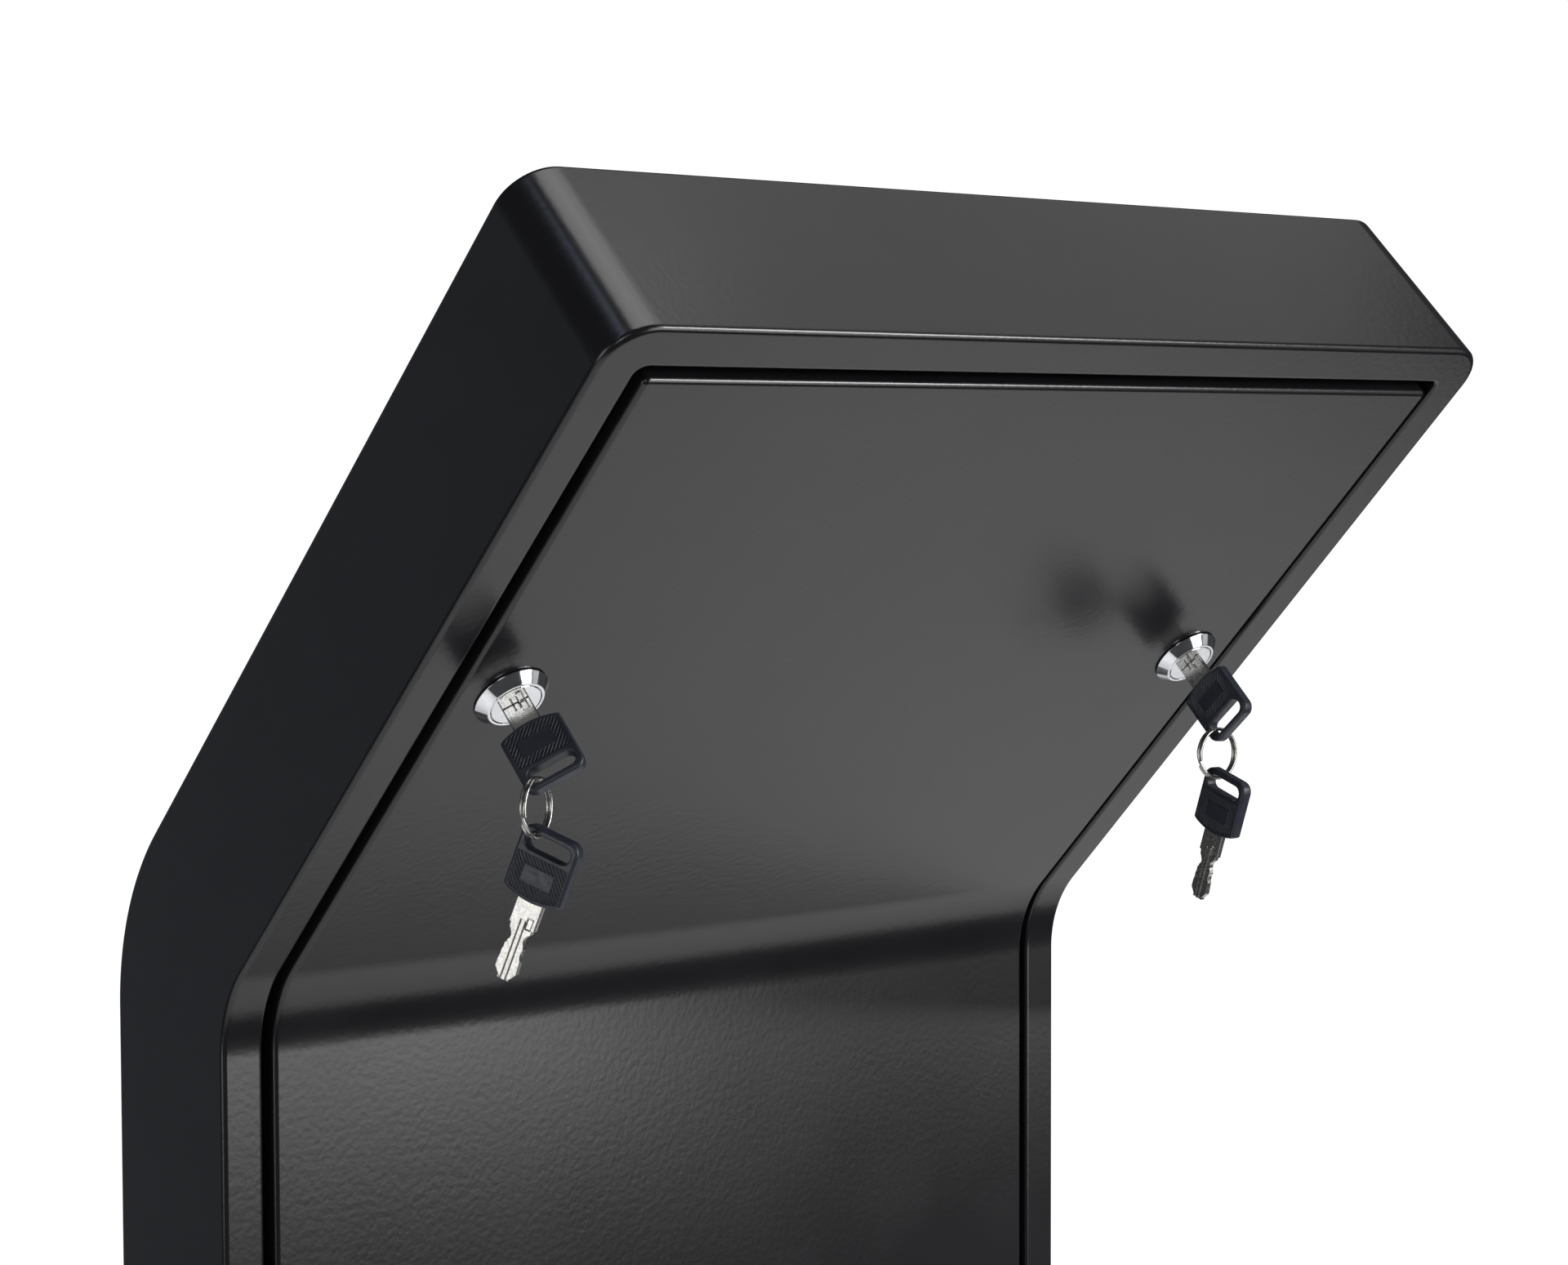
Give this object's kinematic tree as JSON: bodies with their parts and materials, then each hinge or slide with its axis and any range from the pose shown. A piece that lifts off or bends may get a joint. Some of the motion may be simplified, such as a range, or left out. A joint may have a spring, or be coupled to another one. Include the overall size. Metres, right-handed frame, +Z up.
{
  "type": "wall mounted mailbox",
  "caption": "Bent black steel wall letter cabinet with one front door hinged below, two cam locks with keys on rings, and a letter flap behind the leaning head.",
  "frame": {"origin": "on the wall face, in the middle of the rear flange along the bottom edge", "axes": "+Z up, +Y into the wall, +X to the right seen from the front"},
  "size_m": [0.4, 0.2961, 0.5533],
  "materials": {
    "powder_coat": "semi-gloss black powder coat with fine orange peel",
    "chrome": "polished",
    "nickel": "bright nickel plate",
    "zinc_steel": "zinc plate",
    "key_plastic": "moulded, ribbed grip",
    "rubber": "matt"
  },
  "bodies": {
    "casing": {"casing_shell": "powder_coat", "rear_panel": "powder_coat", "letter_retainer": "powder_coat", "hinge_leaf_casing": "zinc_steel", "hinge_pin": "zinc_steel", "lock_keeper_left": "powder_coat", "lock_keeper_right": "powder_coat", "door_buffer_left": "rubber", "door_buffer_right": "rubber", "flap_ear_left": "powder_coat", "flap_ear_right": "powder_coat", "flap_pin": "zinc_steel", "panel_screw_left_1": "zinc_steel", "panel_screw_left_2": "zinc_steel", "panel_screw_left_3": "zinc_steel", "panel_screw_left_4": "zinc_steel", "panel_screw_right_1": "zinc_steel", "panel_screw_right_2": "zinc_steel", "panel_screw_right_3": "zinc_steel", "panel_screw_right_4": "zinc_steel"},
    "door": {"door_panel": "powder_coat", "hinge_leaf_door": "zinc_steel", "lock_housing_left": "chrome", "lock_nut_left": "zinc_steel", "lock_housing_right": "chrome", "lock_nut_right": "zinc_steel"},
    "flap": {"letter_flap": "powder_coat"},
    "plug_left": {"lock_plug_left": "chrome", "lock_cam_left": "zinc_steel", "cam_screw_left": "zinc_steel"},
    "key_left": {"key_blade_left": "nickel", "key_bow_left": "key_plastic"},
    "ring_left": {"split_ring_left": "nickel"},
    "spare_key_left": {"spare_key_blade_left": "nickel", "spare_key_bow_left": "key_plastic"},
    "plug_right": {"lock_plug_right": "chrome", "lock_cam_right": "zinc_steel", "cam_screw_right": "zinc_steel"},
    "key_right": {"key_blade_right": "nickel", "key_bow_right": "key_plastic"},
    "ring_right": {"split_ring_right": "nickel"},
    "spare_key_right": {"spare_key_blade_right": "nickel", "spare_key_bow_right": "key_plastic"}
  },
  "joints": [
    {"name": "door_hinge", "type": "hinge", "parent": "casing", "child": "door", "pos_m": [0, -0.0702, 0.0123], "axis": [1, 0, 0], "range_deg": [0, 75]},
    {"name": "plug_turn_left", "type": "hinge", "parent": "door", "child": "plug_left", "pos_m": [-0.1586, -0.18388, 0.38311], "axis": [0, -0.7071, -0.7071], "range_deg": [-41, 49]},
    {"name": "key_slide_left", "type": "slide", "parent": "plug_left", "child": "key_left", "axis": [0, -0.7071, -0.7071], "range_m": [0, 0.02]},
    {"name": "ring_swing_left", "type": "hinge", "parent": "key_left", "child": "ring_left", "pos_m": [-0.16408, -0.20549, 0.35739], "axis": [-0.891, -0.454, 0], "range_deg": [-12, 12]},
    {"name": "spare_swing_left", "type": "hinge", "parent": "ring_left", "child": "spare_key_left", "pos_m": [-0.16408, -0.20549, 0.33869], "axis": [-0.891, -0.454, 0], "range_deg": [-20, 20]},
    {"name": "plug_turn_right", "type": "hinge", "parent": "door", "child": "plug_right", "pos_m": [0.1586, -0.18388, 0.38311], "axis": [0, -0.7071, -0.7071], "range_deg": [-84, 6]},
    {"name": "key_slide_right", "type": "slide", "parent": "plug_right", "child": "key_right", "axis": [0, -0.7071, -0.7071], "range_m": [0, 0.02]},
    {"name": "ring_swing_right", "type": "hinge", "parent": "key_right", "child": "ring_right", "pos_m": [0.15656, -0.20325, 0.35528], "axis": [-0.9994, 0.0349, 0], "range_deg": [-12, 12]},
    {"name": "spare_swing_right", "type": "hinge", "parent": "ring_right", "child": "spare_key_right", "pos_m": [0.15656, -0.20325, 0.33658], "axis": [-0.9994, 0.0349, 0], "range_deg": [-20, 20]},
    {"name": "flap_lift", "type": "hinge", "parent": "casing", "child": "flap", "pos_m": [0, -0.22383, 0.52644], "axis": [1, 0, 0], "range_deg": [0, 70]}
  ]
}
